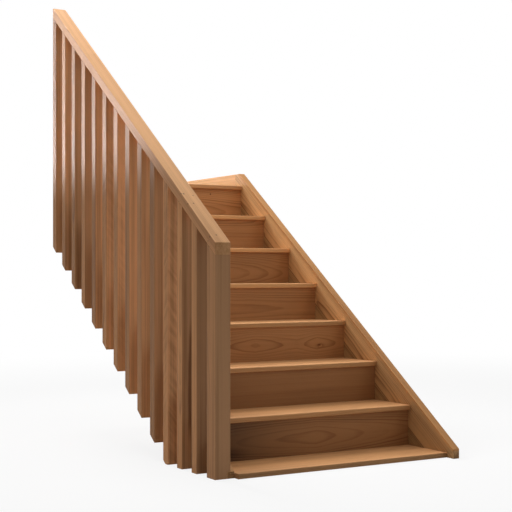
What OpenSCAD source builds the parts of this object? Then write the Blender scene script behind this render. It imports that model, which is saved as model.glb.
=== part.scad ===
// Straight wooden staircase: a closed flight of treads and risers between a wall
// string and an outer string, with a screen of upright slats that carries the
// handrail on the open side.
//
// Frame: X = 0 is the wall face of the wall string, and the stair lies at -X.
// Y = 0 is the front of the first nosing, and +Y climbs. Z = 0 is the floor.

/* [Flight] */
// Height from one tread to the next
rise = 185; // [150:1:220]
// Depth of a step, from nosing to nosing
going = 260; // [215:1:320]
// Clear width between the faces of the two strings
clear_width = 1063; // [700:1:1400]

/* [Treads and risers] */
// Thickness of the tread boards
tread_t = 22; // [18:0.5:40]
// How far a tread's nosing stands out over its riser
nosing = 15; // [5:1:30]
// Radius along the front edges of a nosing
nosing_r = 4; // [1:0.5:8]
// Thickness of the riser boards
riser_t = 18; // [12:0.5:25]
// How far a riser's top edge is let into the tread above it
riser_tongue = 8; // [3:0.5:12]
// Clearance around everything that is let into a groove or a housing
housing_fit = 0.3; // [0.1:0.1:0.6]

/* [Strings] */
// Thickness of both string boards
string_t = 32; // [28:1:50]
// Depth of the housings that take the treads and risers
housing = 18; // [10:1:20]
// Plumb height of the wall string's board above the nosing line
wall_margin = 44; // [20:1:120]
// Plumb depth of the outer string's top edge below the nosing line
outer_margin = 18; // [10:1:60]
// Plumb depth of both strings' lower edges below the nosing line
string_drop = 363; // [300:1:450]
// How far the wall string's foot stands out in front of the first nosing
wall_foot = 46; // [10:1:150]
// Thickness of the cap strip, square to the pitch
cap_t = 8; // [5:0.5:20]
// How far the cap strip overhangs the wall string's inner face
cap_overhang = 6; // [2:0.5:15]

/* [Screen] */
// Width of a slat along the flight
slat_w = 45; // [30:1:60]
// Depth of a slat, the newel and the handrail across the flight
slat_d = 70; // [50:1:100]
// Width of the newel along the flight
newel_w = 70; // [50:1:120]
// How far the newel stands behind the first nosing
newel_setback = 34; // [20:1:60]
// Plumb height of the handrail's top above the nosing line
rail_height = 895; // [800:1:1100]
// Thickness of the handrail, square to the pitch
rail_t = 41; // [30:1:70]
// Glue line over each upright's head and over the string in its notch
glue_line = 0.2; // [0.1:0.1:0.5]

/* [Landing] */
// Height of the landing skirting above the landing
skirting_h = 73; // [65:1:200]
// Length of the landing skirting past the end of the wall string
skirting_l = 650; // [200:1:1200]
// Thickness of the header that closes the top of the flight
header_t = 45; // [30:1:60]
// Depth of the header
header_h = 195; // [100:1:220]

/* [Glue blocks] */
// Side of a triangular glue block under a tread
block_side = 40; // [20:1:60]
// Length of a glue block
block_l = 110; // [60:1:160]
// Number of glue blocks under one tread
block_count = 3; // [1:1:4]

/* [Hidden] */
$fn = 48;
// How far a cutting shape runs past the face that it cuts
past = 1;
// The flight has one node for each riser and each slat
riser_count = 7;
slat_count = 13;
slope = rise / going;
pitch = atan(slope);
cap_plumb = cap_t / cos(pitch);
rail_plumb = rail_t / cos(pitch);

// Places across the flight
wall_face = 0;
wall_inner = wall_face - string_t;
outer_inner = wall_inner - clear_width;
outer_face = outer_inner - string_t;
tread_right = wall_inner + housing;
tread_left = outer_inner - housing;
screen_inner = tread_left;
screen_face = screen_inner - slat_d;

// Places along and up the flight
landing_y = riser_count * going;
landing_z = tread_t + riser_count * rise;
riser_back = nosing + riser_t;
top_cut = landing_y + riser_back + header_t;
skirting_top = landing_z + skirting_h;
cap_end = (skirting_top - wall_margin - cap_plumb - tread_t) / slope;
newel_back = newel_setback + newel_w;
slat_gap = (landing_y - newel_back - slat_count * slat_w) / slat_count;
slat_pitch = slat_w + slat_gap;
upright_top = rail_height - rail_plumb - glue_line;
notch_top = glue_line - outer_margin;

// Depths of a step's board and of the landing's, from their nosings
tread_depth = going + nosing;
landing_depth = top_cut - landing_y;

wood_tread = [0.72, 0.52, 0.36];
wood_riser = [0.55, 0.36, 0.22];
wood_string = [0.60, 0.40, 0.25];
wood_slat = [0.56, 0.38, 0.25];
wood_rail = [0.78, 0.62, 0.45];

// Height of the line through all nosings, at a place along the flight
function nosing_line(y) = tread_t + y * slope;

// Extrudes a (Y, Z) outline across the flight from x0 to x1
module across(x0, x1)
    translate([x0, 0, 0])
        rotate([90, 0, 90])
            linear_extrude(height = x1 - x0)
                children();

// The (Y, Z) outline between two lines at plumb heights above the nosing line,
// cut plumb at both ends
module pitched_band(y0, y1, low, high)
    polygon([
        [y0, nosing_line(y0) + low],
        [y1, nosing_line(y1) + low],
        [y1, nosing_line(y1) + high],
        [y0, nosing_line(y0) + high]
    ]);

// Cuts away all that a (Y, Z) outline has below the floor
module above_floor()
    difference() {
        children();
        translate([-going, -2 * landing_z])
            square([landing_y + 4 * going, 2 * landing_z]);
    }

// The (Y, Z) outline of a board with a rounded front, its top front corner at (y, z)
module board_outline(y, z, depth) {
    r = nosing_r;
    translate([y, z - tread_t])
        difference() {
            square([depth, tread_t]);
            difference() {
                translate([-past, tread_t - r]) square([r + past, r + past]);
                translate([r, tread_t - r]) circle(r);
            }
            difference() {
                translate([-past, -past]) square([r + past, r + past]);
                translate([r, r]) circle(r);
            }
        }
}

// The (Y, Z) outline of riser i, which stands behind tread i
module riser_outline(i, grow = 0)
    translate([i * going + nosing - grow, (i - 1) * rise - grow])
        square([riser_t + 2 * grow, rise + riser_tongue + 2 * grow]);

// The (Y, Z) outline of the room that tread i needs in a string
module tread_housing(i, depth)
    translate([(i - 1) * going - housing_fit, (i - 1) * rise - housing_fit])
        square([depth + 2 * housing_fit, tread_t + 2 * housing_fit]);

// Every housing in a string, as one (Y, Z) outline
module housings() {
    for (i = [1 : riser_count]) {
        tread_housing(i, tread_depth);
        riser_outline(i, housing_fit);
    }
    tread_housing(riser_count + 1, landing_depth);
}

// Step i of the flight, counted from the floor: a board with a groove for the
// riser below it. The first one is cut back round the end of the outer string
module step_board(i, depth) {
    y = (i - 1) * going;
    color(wood_tread)
        difference() {
            across(tread_left, tread_right)
                difference() {
                    board_outline(y, tread_t + (i - 1) * rise, depth);
                    if (i > 1) riser_outline(i - 1, housing_fit);
                }
            if (i == 1)
                translate([tread_left - past, -past, -past])
                    cube([housing + past, newel_setback + past, tread_t + 2 * past]);
        }
}

module riser(i)
    color(wood_riser)
        across(tread_left, tread_right)
            riser_outline(i);

module wall_string()
    color(wood_string)
        difference() {
            across(wall_inner, wall_face)
                above_floor()
                    union() {
                        pitched_band(-wall_foot, cap_end, -string_drop, wall_margin);
                        intersection() {
                            pitched_band(cap_end, top_cut, -string_drop, skirting_top);
                            square([top_cut, skirting_top]);
                        }
                    }
            across(wall_inner - past, tread_right + housing_fit) housings();
        }

module wall_string_cap()
    color(wood_rail)
        across(wall_inner - cap_overhang, wall_face)
            pitched_band(-wall_foot, cap_end, wall_margin, wall_margin + cap_plumb);

module outer_string()
    color(wood_string)
        difference() {
            across(outer_face, outer_inner)
                above_floor()
                    intersection() {
                        pitched_band(newel_setback, top_cut, -string_drop, -outer_margin);
                        square([top_cut, landing_z]);
                    }
            across(tread_left - housing_fit, outer_inner + past) housings();
        }

// An upright of the screen: notched over the outer string, with its head cut to
// the pitch under the handrail
module upright(y, width)
    color(wood_slat) {
        across(screen_face, outer_face)
            above_floor()
                pitched_band(y, y + width, -string_drop, upright_top);
        across(outer_face, screen_inner)
            pitched_band(y, y + width, notch_top, upright_top);
    }

// Slat k, counted from the top of the flight
module slat(k)
    upright(landing_y - slat_w - (k - 1) * slat_pitch, slat_w);

module newel_post() upright(newel_setback, newel_w);

module handrail()
    color(wood_rail)
        across(screen_face, screen_inner)
            pitched_band(newel_setback, landing_y, rail_height - rail_plumb, rail_height);

module landing_header()
    color(wood_string)
        across(outer_inner, wall_inner)
            translate([landing_y + riser_back, landing_z - tread_t - header_h])
                square([header_t, header_h]);

module landing_skirting()
    color(wood_rail)
        across(wall_inner, wall_face)
            translate([top_cut, landing_z])
                square([skirting_l, skirting_h]);

// Triangular blocks glued into the corner behind each riser, under its tread
module glue_blocks() {
    step = clear_width / block_count;
    color(wood_riser)
        for (i = [1 : riser_count - 1], b = [0 : block_count - 1]) {
            x = outer_inner + (b + 0.5) * step - block_l / 2;
            across(x, x + block_l)
                translate([i * going + riser_back, i * rise])
                    polygon([[0, 0], [block_side, 0], [0, -block_side]]);
        }
}

wall_string();
wall_string_cap();
outer_string();
step_board(1, tread_depth);  // tread_1
step_board(2, tread_depth);  // tread_2
step_board(3, tread_depth);  // tread_3
step_board(4, tread_depth);  // tread_4
step_board(5, tread_depth);  // tread_5
step_board(6, tread_depth);  // tread_6
step_board(7, tread_depth);  // tread_7
riser(1);  // riser_1
riser(2);  // riser_2
riser(3);  // riser_3
riser(4);  // riser_4
riser(5);  // riser_5
riser(6);  // riser_6
riser(7);  // riser_7
step_board(8, landing_depth);  // landing_nosing
landing_header();
landing_skirting();
newel_post();
slat(1);  // slat_01
slat(2);  // slat_02
slat(3);  // slat_03
slat(4);  // slat_04
slat(5);  // slat_05
slat(6);  // slat_06
slat(7);  // slat_07
slat(8);  // slat_08
slat(9);  // slat_09
slat(10);  // slat_10
slat(11);  // slat_11
slat(12);  // slat_12
slat(13);  // slat_13
handrail();
glue_blocks();
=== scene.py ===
"""Looks of the wooden staircase: solid timber boards with eased arrises, soft light and the camera."""

import math

import bpy
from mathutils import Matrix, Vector


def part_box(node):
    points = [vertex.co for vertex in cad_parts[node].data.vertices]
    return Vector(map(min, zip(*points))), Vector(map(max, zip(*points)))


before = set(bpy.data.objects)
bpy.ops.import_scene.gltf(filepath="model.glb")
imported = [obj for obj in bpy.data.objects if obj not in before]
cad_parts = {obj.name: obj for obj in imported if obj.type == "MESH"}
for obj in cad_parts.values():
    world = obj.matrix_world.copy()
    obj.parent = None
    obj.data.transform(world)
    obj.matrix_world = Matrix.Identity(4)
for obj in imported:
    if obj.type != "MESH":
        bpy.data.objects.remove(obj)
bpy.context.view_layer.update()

RISE, GOING = 0.185, 0.260                      # one step up, one step along
TREAD_T = 0.022
RAIL_HEIGHT = 0.895                             # the rail's top, plumb above the line of the nosings
SCREEN_FACE = -1.183                            # X of the left face of the slats, the newel and the rail
PITCH = math.atan2(RISE, GOING)
ALONG_X, ALONG_Y, ALONG_Z = Vector((1, 0, 0)), Vector((0, 1, 0)), Vector((0, 0, 1))
ALONG_PITCH = Vector((0, math.cos(PITCH), math.sin(PITCH)))
OFF_PITCH = Vector((0, -math.sin(PITCH), math.cos(PITCH)))


# ---------------------------------------------------------------- shader maths

class Wire:
    """A node's output socket, so that shader maths is written as plain sums."""

    def __init__(self, shader, socket):
        self.shader, self.socket = shader, socket

    def maths(self, operation, *others, clamp=False):
        return self.shader.add("Math", {"operation": operation, "use_clamp": clamp},
                               dict(enumerate((self, *others))))

    def __add__(self, other):
        return self.maths("ADD", other)

    def __sub__(self, other):
        return self.maths("SUBTRACT", other)

    def __mul__(self, other):
        return self.maths("MULTIPLY", other)

    def __truediv__(self, other):
        return self.maths("DIVIDE", other)

    def __pow__(self, other):
        return self.maths("POWER", other)

    def __radd__(self, other):
        return self + other

    def __rmul__(self, other):
        return self * other

    def __rsub__(self, other):
        return self.shader.number(other) - self

    def __abs__(self):
        return self.maths("ABSOLUTE")

    def below(self, other):
        return self.maths("MINIMUM", other)

    def above(self, other):
        return self.maths("MAXIMUM", other)

    def held(self):
        """The value, held between 0 and 1."""
        return self.maths("ADD", 0, clamp=True)

    def step(self, low, high):
        """0 below low, 1 above high, smooth between."""
        return self.shader.add("MapRange", {"interpolation_type": "SMOOTHSTEP"},
                               {"Value": self, "From Min": low, "From Max": high})


class Shader:
    """A material's node tree, with one method that adds any node."""

    def __init__(self, tree):
        self.tree = tree
        tree.nodes.clear()

    def add(self, kind, settings=None, sockets=None, out=0):
        """Adds a node, sets it up, joins its sockets and gives the Wire of one output."""
        node = self.tree.nodes.new("ShaderNode" + kind)
        for key, value in (settings or {}).items():
            if key == "stops":
                ramp = node.color_ramp
                while len(ramp.elements) < len(value):
                    ramp.elements.new(1)
                for element, (place, colour) in zip(ramp.elements, value):
                    element.position, element.color = place, (*colour, 1)
            else:
                setattr(node, key, value)
        for key, value in (sockets or {}).items():
            if isinstance(value, Wire):
                self.tree.links.new(value.socket, node.inputs[key])
            else:
                node.inputs[key].default_value = value
        return Wire(self, node.outputs[out]) if len(node.outputs) else node

    def number(self, value):
        return self.add("Math", {"operation": "ADD"}, {0: value, 1: 0})

    def point(self, x, y, z):
        return self.add("CombineXYZ", None, {0: x, 1: y, 2: z})

    def noise(self, place, detail=2.0, roughness=0.5):
        """Soft noise about 0, close to -1..1."""
        value = self.add("TexNoise", {"noise_dimensions": "3D"},
                         {"Vector": place, "Scale": 1.0, "Detail": detail, "Roughness": roughness})
        return (value - 0.5) * 2

    def mix(self, share, first, second, blend="MIX"):
        """Two colours mixed by share."""
        return self.add("Mix", {"data_type": "RGBA", "blend_type": blend},
                        {0: share, 6: first, 7: second}, out=2)

    def grey(self, value):
        """A number as a grey colour."""
        return self.add("CombineColor", None, {0: value, 1: value, 2: value})


# ---------------------------------------------------------------- timber

def colour(red, green, blue):
    """A display colour, 0 to 255, as the linear colour that a shader takes."""
    def linear(c):
        c /= 255
        return c / 12.92 if c <= 0.04045 else ((c + 0.055) / 1.055) ** 2.4
    return linear(red), linear(green), linear(blue)


def shade(tone, share, most=1.0):
    """A linear colour made lighter or darker, with no part of it above most."""
    return tuple(min(most, share * c) for c in tone)


WHITE = (1.0, 1.0, 1.0)
UNCAPPED = 9                                    # a most that lets a tint go above white


def timber(name, dark, light, grain, across, centre, half, seed, heart=(0.02, -0.09), ring=0.0055,
           wander=0.02, line=0.5, streak=1.0, cones=(), knots=(), joint=None, curl=0.0, faces=(1.0, 1.0),
           gloss=0.52, wear=0.35, trodden=0.0, relief=0.30, left=1.0, boards=(WHITE, WHITE), end_tone=0.8,
           nicks=(), stains=(), side_tint=(1.14, 1.0, 0.84), fine=1.0):
    """Solid timber cut from a trunk whose rings run round a wandering heart beside the board.

    grain and across are the board's length and width; centre and half are its middle and its half sizes
    along grain, across and through. heart is where the trunk's heart lies from the middle, across and
    through, and ring the width of a year. cones are (place along, slope before it, slope after it): the
    heart is nearest the face there and drops away to both sides, which draws eyes and arches. wander is
    how far the heart strays, line the depth of the ring lines and streak that of the broad streaks.
    knots are (along, across, through, radius). joint is the place across at which a second board is
    glued on, and boards the tints of the two. curl is the depth of fine ripples in the grain.
    faces is painted light and shade: it tones the surfaces that look through the board and those
    that look across apart, and side_tint colours the second: lit and shaded copies of one wood.
    end_tone darkens the end grain, and left is painted shade over the end that grain points
    away from. gloss is the roughness, relief the bump and fine the share of the pores' colour. wear pales
    the arrises, and trodden is painted light that pales the front of a tread, most along its
    middle. nicks are (x, y, z, radius) of small dark marks, in the stair's frame. stains are
    (along, across, length, width, depth) of long soft dark patches in the wood; one put in a shaded
    corner is painted shade.
    """
    material = bpy.data.materials.new(name)
    material.use_nodes = True
    s = Shader(material.node_tree)
    through = grain.cross(across)
    place = s.add("TexCoord", out=3)
    origin = s.add("VectorMath", {"operation": "SUBTRACT"}, {0: place, 1: tuple(centre)})
    facing = s.add("TexCoord", out=1)

    def dot(vector, direction):
        return s.add("VectorMath", {"operation": "DOT_PRODUCT"}, {0: vector, 1: tuple(direction)}, out=1)

    u, v, w = dot(origin, grain), dot(origin, across), dot(origin, through)
    side = v.step(joint - 0.0002, joint + 0.0002) if joint is not None else 0.0

    def field(along, sideways, offset, detail=2.0, roughness=0.5):
        """Noise with its own scale along and across the grain."""
        return s.noise(s.point(u * along + (seed * 7.31 + offset),
                               v * sideways + side * 3.7 + (seed * 3.17 + offset),
                               w * sideways + (seed * 5.71 - offset)), detail, roughness)

    # growth rings round the heart
    drop = None
    for where, before, after in cones:
        cone = ((u - where) * after).above((u - where) * -before)
        drop = cone if drop is None else drop.below(cone)
    heart_v = v - heart[0] + field(1.1, 0.8, 1.3, 1.0) * wander + side * 0.05
    heart_w = w - heart[1] + field(1.4, 0.9, 5.9, 1.0) * wander
    if drop is not None:
        heart_w = heart_w + drop
    swirl = None
    for along, sideways, deep, size in knots:
        du, dv, dw = (u - along) * 0.45, v - sideways, w - deep
        near = (du * du + dv * dv + dw * dw) ** 0.5 / size
        core = 1 - near.step(0.55, 1.25)
        swirl = core if swirl is None else swirl.above(core)
        heart_w = heart_w + (1 - near.step(0.2, 4.5)) * size * 0.9
    radius = (heart_v * heart_v + heart_w * heart_w) ** 0.5 + field(7, 22, 2.2, 2.0) * 0.0014
    rings = radius / ring + field(0.6, 4, 8.1, 0.0) * 0.5
    rings = rings + s.noise(s.point(rings * 0.45, seed, 0.0), 1.0) * 0.6
    year = rings.maths("FRACT")
    vigour = s.noise(s.point(rings * 0.41 + seed, 0.0, 0.0), 2.0)
    late = year.step(0.10, 0.90) ** 2.2 * (1 - year.step(0.90, 1.0)) * (0.50 + vigour * 1.3).held()

    # fibre, pores, streaks and slow changes of colour
    fibre = field(5, 380, 3.3, 3.0, 0.6)
    pores = field(24, 1500, 6.1, 1.0).step(0.30, 0.62) * (1 - late * 0.6)
    bands = field(0.7, 60, 4.4, 3.0, 0.6)
    broad = field(0.8, 14, 15.3, 1.0)
    mottle = field(3.0, 7, 9.7, 3.0)
    figure = (late * line + (bands * 0.34 + broad * 0.30) * streak - mottle * 0.12 + fibre * 0.10 + 0.36)
    if curl:
        ripple = s.noise(s.point(u * 38 + v * 50 + w * 50 + seed, v * 16, w * 16), 1.0)
        figure = figure + ripple * curl
    # long soft dark patches in the wood; the one in riser 1's lower corner is painted shade
    for along, sideways, length, width, depth in stains:
        du, dv = (u - along) / length, (v - sideways + field(3, 3, 21.0) * width * 0.5) / width
        figure = figure + (1 - ((du * du + dv * dv) ** 0.5).step(0.2, 1.0)) * depth
    ends = abs(dot(facing, grain)).step(0.6, 0.95)
    figure = figure + ends * 0.20
    if swirl is not None:
        figure = figure + swirl * 0.75

    tint = s.add("ValToRGB", {"stops": [
        (0.0, shade(light, 1.12)), (0.35, light),
        (0.70, tuple(0.45 * a + 0.55 * b for a, b in zip(light, dark))), (1.0, dark)]}, {0: figure.held()})
    tint = s.mix((pores * 0.30 * fine).held(), tint, (*shade(dark, 0.55), 1))
    if joint is not None:
        seam = 1 - abs(v - joint).step(0.0008, 0.0030)
        tint = s.mix(1.0, tint, s.mix(side, (*boards[0], 1), (*boards[1], 1)), "MULTIPLY")
        tint = s.mix(seam * 0.7, tint, (*shade(dark, 0.6), 1))
    # painted light and shade: surfaces that look through the board and those that look across get tones of
    # their own
    if faces != (1.0, 1.0):
        share = abs(dot(facing, across)).step(0.3, 0.7)
        gain = s.mix(share, (*shade(WHITE, faces[0], UNCAPPED), 1),
                     (*shade(side_tint, faces[1], UNCAPPED), 1))
        tint = s.mix(1.0, tint, gain, "MULTIPLY")

    tint = s.mix(1.0, tint, s.grey(1 - ends * (1 - end_tone)), "MULTIPLY")
    # painted shade: the board darkens toward the end that grain points away from
    if left != 1.0:
        tint = s.mix(1.0, tint, s.grey(1 - (u / half[0]).step(0.1, -1.0) * (1 - left)), "MULTIPLY")

    mark = None
    for *spot, size in nicks:
        away = s.add("VectorMath", {"operation": "DISTANCE"}, {0: place, 1: tuple(spot)}, out=1)
        core = 1 - away.step(size * 0.35, size)
        mark = core if mark is None else mark.above(core)
    if mark is not None:
        tint = s.mix(mark * 0.85, tint, (*shade(dark, 0.3), 1))

    # hands and feet rub the arrises paler, and painted light pales the front of each tread
    du, dv, dw = ((h - abs(p)).above(0) for h, p in zip(half, (u, v, w)))
    arris = (dv + dw).below(du + dw).below(du + dv)
    rub = (1 - arris.step(0.001, 0.006)) * (0.55 + field(9, 9, 12.0, 3.0) * 0.7).held() * wear
    if trodden:
        # painted light: the front part of the tread, most along its middle, is made paler
        path = (1 - (abs(u) / 0.60).step(0.3, 1.2) * 0.5) * (v / half[1]).step(0.45, -0.15)
        tint = s.mix(1.0, tint, s.grey(1 + path * trodden * (0.9 + mottle * 0.2)), "MULTIPLY")
    tint = s.mix(rub.held(), tint, (*shade(light, 1.22), 1))

    rough = gloss + fibre * 0.04 + pores * 0.12 - late * 0.04 + ends * 0.15 - rub * 0.06
    height = pores * -0.6 - late * 0.25 + fibre * 0.35 + field(9, 40, 14.0) * 0.5
    bump = s.add("Bump", None, {"Strength": relief, "Distance": 0.0003, "Height": height})
    surface = s.add("BsdfPrincipled", None, {
        "Base Color": tint, "Roughness": rough.held(), "Normal": bump,
        "IOR": 1.45, "Specular IOR Level": 0.22})
    s.add("OutputMaterial", None, {0: surface})
    return material


# ---------------------------------------------------------------- boards and their woods

def middle(node):
    """The middle of a board's box, and its half sizes."""
    low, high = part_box(node)
    return (low + high) / 2, (high - low) / 2


def lay(node, wood, grain, across, seed, half=None, centre=None, tone=1.0, **more):
    """Gives a board its timber, with its length along grain and its width along across."""
    box_centre, box_half = middle(node)
    if half is None:
        half = [sum(abs(d[i]) * box_half[i] for i in range(3)) for d in (grain, across, grain.cross(across))]
    dark, light = (shade(colour(*c), tone) for c in wood)
    timbered = timber(node + "_timber", dark, light, grain, across, centre or box_centre, half, seed, **more)
    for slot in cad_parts[node].material_slots:
        slot.material = timbered


TREAD_WOOD = ((132, 82, 44), (206, 153, 103))
RISER_WOOD = ((106, 64, 32), (168, 120, 76))
STRING_WOOD = ((122, 74, 38), (196, 146, 96))
SCREEN_WOOD = ((104, 68, 39), (172, 128, 90))
RAIL_WOOD = ((150, 100, 58), (216, 164, 114))
CAP_WOOD = ((146, 94, 54), (198, 143, 88))

# how each riser was sawn and the marks on it; painted shade darkens the newel end of risers 1 and 2,
# and a patch of painted shade lies in riser 1's lower corner by the newel
RISERS = {
    1: dict(heart=(0.0, -0.09), line=0.50, cones=[(0.02, 0.030, 0.034)], wander=0.006, left=0.33,
            stains=[(-0.50, -0.05, 0.22, 0.05, 0.6)]),
    2: dict(heart=(-0.16, -0.05), line=0.26, ring=0.004, left=0.85, cones=[(0.30, 0.006, 0.012)],
            nicks=[(-0.417, 0.275, 0.235, 0.005), (-0.349, 0.275, 0.255, 0.005),
                   (-0.461, 0.275, 0.238, 0.004)]),
    3: dict(heart=(0.0, -0.085), line=0.34, cones=[(0.018, 0.024, 0.030), (0.37, 0.060, 0.045)],
            knots=[(0.383, -0.006, 0.009, 0.0045)], wander=0.014,
            nicks=[(-0.36, 0.535, 0.475, 0.004), (-0.20, 0.535, 0.452, 0.004)]),
    4: dict(heart=(-0.018, -0.09), line=0.42, ring=0.0065, cones=[(-0.55, 0.02, 0.016)], wander=0.014,
            stains=[(-0.42, -0.070, 0.16, 0.012, 0.8)]),
    5: dict(heart=(-0.022, -0.10), line=0.44, cones=[(-0.20, 0.02, 0.040)], wander=0.008),
    6: dict(heart=(0.10, -0.06), line=0.36, ring=0.005, cones=[(-0.6, 0.01, 0.008)]),
    7: dict(heart=(-0.05, -0.12), line=0.46, ring=0.006, cones=[(-0.4, 0.02, 0.014)],
            nicks=[(-0.231, 1.835, 1.265, 0.006)]),
}
# painted light: risers higher up the flight are paler, as more light reaches them
RISER_TONES = {1: 0.88, 2: 0.90, 3: 1.24, 4: 1.24, 5: 1.14, 6: 1.30, 7: 1.42}
for i, sawn in RISERS.items():
    lay(f"riser_{i}", RISER_WOOD, ALONG_X, ALONG_Z, 1.0 + i, streak=0.5, wear=0.0, tone=RISER_TONES[i],
        **sawn)

# painted light and shade: tone of each tread's nosing face, from the floor up
NOSE_TONES = (0.46, 0.72, 0.70, 0.73, 1.02, 1.22, 1.1)
for i, nose_tone in enumerate(NOSE_TONES, 1):
    lay(f"tread_{i}", TREAD_WOOD, ALONG_X, ALONG_Y, 21.0 + i, heart=(0.10 - 0.03 * i, -0.11), line=0.34,
        streak=0.6, trodden=0.30, tone=0.93, faces=(1.0, nose_tone), side_tint=(1.0, 1.02, 0.98))
lay("landing_nosing", TREAD_WOOD, ALONG_X, ALONG_Y, 31, line=0.34, streak=0.6)
lay("landing_header", STRING_WOOD, ALONG_X, ALONG_Z, 32)
lay("landing_skirting", STRING_WOOD, ALONG_Y, ALONG_Z, 33, tone=1.30, line=0.3, heart=(0.08, -0.05))
lay("glue_blocks", RISER_WOOD, ALONG_X, ALONG_Z, 34)

# painted light and shade: tones of each slat's front and of its sides,
# and the depth of its ripples, from the top of the flight
SLATS = [(1.28, 1.02, 0), (1.60, 1.15, 0), (1.22, 0.86, 0), (1.15, 1.02, 0), (1.75, 0.88, 0),
         (1.85, 1.16, 0.10), (1.85, 0.98, 0.12), (1.78, 0.84, 0), (1.72, 0.90, 0), (1.40, 0.78, 0),
         (1.74, 1.24, 0.24), (1.35, 1.36, 0), (0.90, 1.12, 0)]
for k, (front, sides, curl) in enumerate(SLATS, 1):
    lay(f"slat_{k:02d}", SCREEN_WOOD, ALONG_Z, ALONG_X, 40 + 1.7 * k, faces=(front, sides), curl=curl,
        heart=(0.13 if k % 2 else -0.11, 0.03 * (k % 3)), ring=0.0045, line=0.36, streak=1.6,
        side_tint=(1.14, 1.0, 0.76),
        cones=[(-0.5, 0.01, 0.010)] if k in (5, 12) else (),
        stains=[(-0.20, 0.004, 0.30, 0.020, 0.75), (0.10, 0.018, 0.20, 0.008, 0.5)] if k == 12 else ())
# painted light and shade: the newel's front and its sides are toned apart
lay("newel_post", SCREEN_WOOD, ALONG_Z, ALONG_X, 60, faces=(0.93, 1.03), heart=(0.14, 0.05), ring=0.004,
    line=0.26, streak=1.0, side_tint=(1.12, 1.0, 0.78))


def nosing_line(y):
    """Height of the line through all nosings, at a place along the flight."""
    return TREAD_T + RISE / GOING * y


def pitched_middle(node, off=0.0):
    """A point at the middle of a pitched board's box in X and Y, and off square above the nosing line."""
    centre, _ = middle(node)
    return Vector((centre[0], centre[1], nosing_line(centre[1]))) + OFF_PITCH * off


def rail_top(y):
    return nosing_line(y) + RAIL_HEIGHT


WALL_STRING_JOINT = -0.0929                     # where its two boards meet, square from the nosing line
STRING_HALF = (2.0, 0.3, 0.016)                 # half sizes of a box on the nosing line that holds a string
CAP_HALF = (2.0, 0.022, 0.3)                    # and of one that holds the cap strip
RAIL_HALF = (1.096, 0.035, 0.0205)              # half the rail's length, width and thickness

# painted shade: the wall string darkens toward its lower end
lay("wall_string", STRING_WOOD, ALONG_PITCH, OFF_PITCH, 61, joint=WALL_STRING_JOINT,
    centre=pitched_middle("wall_string"), half=STRING_HALF, heart=(-0.03, 0.10), line=0.45, streak=1.4,
    wear=0.1, boards=((0.90, 1.04, 1.08), (1.14, 1.26, 1.34)), left=0.66)
lay("outer_string", STRING_WOOD, ALONG_PITCH, OFF_PITCH, 62, centre=pitched_middle("outer_string"),
    half=STRING_HALF, heart=(-0.12, -0.08), line=0.4, wear=0.1, end_tone=0.45)
lay("wall_string_cap", CAP_WOOD, ALONG_PITCH, ALONG_X, 63, centre=pitched_middle("wall_string_cap"),
    half=CAP_HALF, line=0.24, heart=(0.08, 0.05), wear=0.2, relief=0.0, fine=0.2)

RAIL_NICKS = [(SCREEN_FACE, 0.33, 1.150, 0.005), (SCREEN_FACE, 0.268, 1.104, 0.005),
              (SCREEN_FACE, 0.35, 1.118, 0.004), (SCREEN_FACE, 0.078, 0.964, 0.005),
              (SCREEN_FACE, 0.093, 0.947, 0.004), (-1.154, 0.076, rail_top(0.076), 0.005),
              (-1.157, 0.267, rail_top(0.267), 0.005), (-1.173, 0.326, rail_top(0.326), 0.006),
              (-1.133, 0.318, rail_top(0.318), 0.004)]
rail_middle = pitched_middle("handrail", RAIL_HEIGHT * math.cos(PITCH) - RAIL_HALF[2])
# painted light and shade: the rail's top is toned paler than its sides
lay("handrail", RAIL_WOOD, ALONG_PITCH, ALONG_X, 64, centre=rail_middle, half=RAIL_HALF,
    line=0.30, heart=(0.10, 0.06), wear=0.3, faces=(1.10, 0.74), nicks=RAIL_NICKS, end_tone=0.62)


# ---------------------------------------------------------------- eased arrises

EASE_WIDTH, EASE_SEGMENTS = 0.0015, 3
SAME_POINT = 0.00002                            # corners this near are one
SAME_PLANE = math.radians(1)                    # faces that turn less than this are one
SHARP = math.radians(32)                        # an edge that turns more than this is eased


def ease(node):
    """Rounds a board's sharp edges a little, as a plane or sandpaper leaves them."""
    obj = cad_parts[node]
    weld = obj.modifiers.new("weld", "WELD")
    weld.merge_threshold = SAME_POINT
    flat = obj.modifiers.new("flat", "DECIMATE")
    flat.decimate_type, flat.angle_limit = "DISSOLVE", SAME_PLANE
    bevel = obj.modifiers.new("ease", "BEVEL")
    bevel.width, bevel.segments, bevel.limit_method = EASE_WIDTH, EASE_SEGMENTS, "ANGLE"
    bevel.angle_limit, bevel.use_clamp_overlap = SHARP, True
    normal = obj.modifiers.new("shade", "WEIGHTED_NORMAL")
    normal.keep_sharp, normal.weight = False, 100


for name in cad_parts:
    ease(name)


# ---------------------------------------------------------------- floor, light and camera

FLOOR_HALF = 300
FLOOR_Z = -0.0005                               # just under the stair's feet
FLOOR_GLOW, FADE_START, FADE_END = 0.86, 2.0, 7.0   # share of white near the stair, and where it grows to 1


def seen_directly(s):
    """1 for what the camera sees straight or in gloss or glass, 0 for light that falls on things."""
    path = s.add("LightPath")
    outs = path.socket.node.outputs
    return (Wire(s, outs["Is Camera Ray"]) + Wire(s, outs["Is Glossy Ray"])
            + Wire(s, outs["Is Transmission Ray"])).held()


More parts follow.
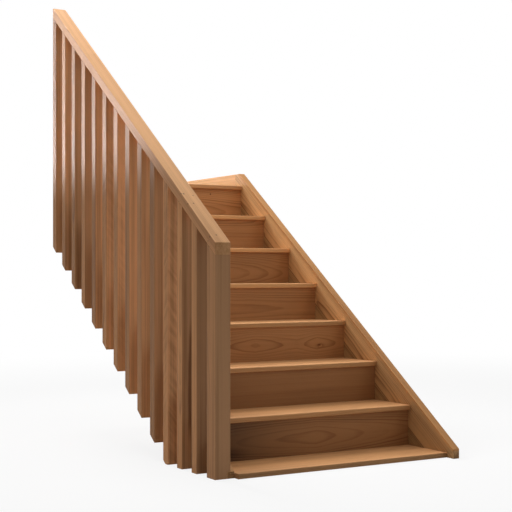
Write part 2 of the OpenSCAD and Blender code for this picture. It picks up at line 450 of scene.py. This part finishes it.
def pale_floor():
    """A pale floor that keeps the stair's shadow near it and fades to white further off."""
    mesh = bpy.data.meshes.new("floor")
    corners = [(x * FLOOR_HALF, y * FLOOR_HALF, FLOOR_Z) for x, y in ((-1, -1), (1, -1), (1, 1), (-1, 1))]
    mesh.from_pydata(corners, [], [(0, 1, 2, 3)])
    floor = bpy.data.objects.new("floor", mesh)
    bpy.context.scene.collection.objects.link(floor)
    material = bpy.data.materials.new("pale_floor")
    material.use_nodes = True
    s = Shader(material.node_tree)
    matt = s.add("BsdfDiffuse", None, {"Color": (0.86, 0.86, 0.86, 1)})
    white = s.add("Emission", None, {"Color": (1, 1, 1, 1), "Strength": 1.0})
    away = s.add("VectorMath", {"operation": "LENGTH"}, {0: s.add("TexCoord", out=3)}, out=1)
    share = seen_directly(s) * (FLOOR_GLOW + away.step(FADE_START, FADE_END) * (1 - FLOOR_GLOW))
    s.add("OutputMaterial", None, {0: s.add("MixShader", None, {0: share, 1: matt, 2: white})})
    floor.data.materials.append(material)


def room_light(strength, tone):
    world = bpy.data.worlds.new("room")
    bpy.context.scene.world = world
    world.use_nodes = True
    s = Shader(world.node_tree)
    soft = s.add("Background", None, {"Color": (*tone, 1), "Strength": strength})
    white = s.add("Background", None, {"Color": (1, 1, 1, 1), "Strength": 1.0})
    s.add("OutputWorld", None, {0: s.add("MixShader", None, {0: seen_directly(s), 1: soft, 2: white})})


def lamp(name, place, target, size, power, tone=(1, 1, 1), spread=180):
    """A rectangular soft lamp at place, turned to target; size is its width and height."""
    light = bpy.data.lights.new(name, "AREA")
    light.shape, light.size, light.size_y = "RECTANGLE", *size
    light.energy, light.color, light.spread = power, tone, math.radians(spread)
    obj = bpy.data.objects.new(name, light)
    obj.location = place
    obj.rotation_euler = (Vector(target) - Vector(place)).to_track_quat("-Z", "Y").to_euler()
    bpy.context.scene.collection.objects.link(obj)


CAMERA_PLACE = (-3.37815, -3.99099, 0.82879)
CAMERA_TURN = -30.63                            # degrees from +Y, level
SENSOR, LENS, SHIFT_Y = 36, 81.528, 0.0285


def camera():
    data = bpy.data.cameras.new("camera")
    data.sensor_width, data.lens = SENSOR, LENS
    data.shift_y = SHIFT_Y
    data.clip_start, data.clip_end = 0.05, 600
    obj = bpy.data.objects.new("camera", data)
    obj.location = CAMERA_PLACE
    obj.rotation_euler = (math.radians(90), 0, math.radians(CAMERA_TURN))
    bpy.context.scene.collection.objects.link(obj)
    bpy.context.scene.camera = obj


DAYLIGHT, NARROW = (0.92, 0.93, 1.0), 5          # a window's colour, and a spread in degrees

pale_floor()
room_light(0.27, (1.0, 0.98, 0.95))
lamp("skylight", (-0.9, 0.6, 4.0), (-0.7, 0.8, 0.6), (2.0, 2.0), 37)
lamp("stairhead_light", (-1.1, 2.9, 4.6), (-0.6, 0.9, 0.6), (1.2, 0.8), 48)
lamp("upstairs_light", (-1.1, 3.8, 3.4), (-0.1, 1.3, 1.1), (1.0, 0.8), 26, spread=90)
lamp("landing_window", (-3.3, 4.9, 2.32), (SCREEN_FACE, 1.33, 2.32), (3.4, 2.0), 6.8, DAYLIGHT, NARROW)
lamp("landing_window_near", (-3.27, 5.13, 2.32), (SCREEN_FACE, 1.6, 2.32), (0.9, 2.0), 3.8, DAYLIGHT, NARROW)
lamp("room_bounce", (1.8, -2.5, 3.5), (-0.9, 0.8, 1.2), (1.6, 1.6), 18)
camera()
bpy.context.scene.view_settings.view_transform = "Standard"
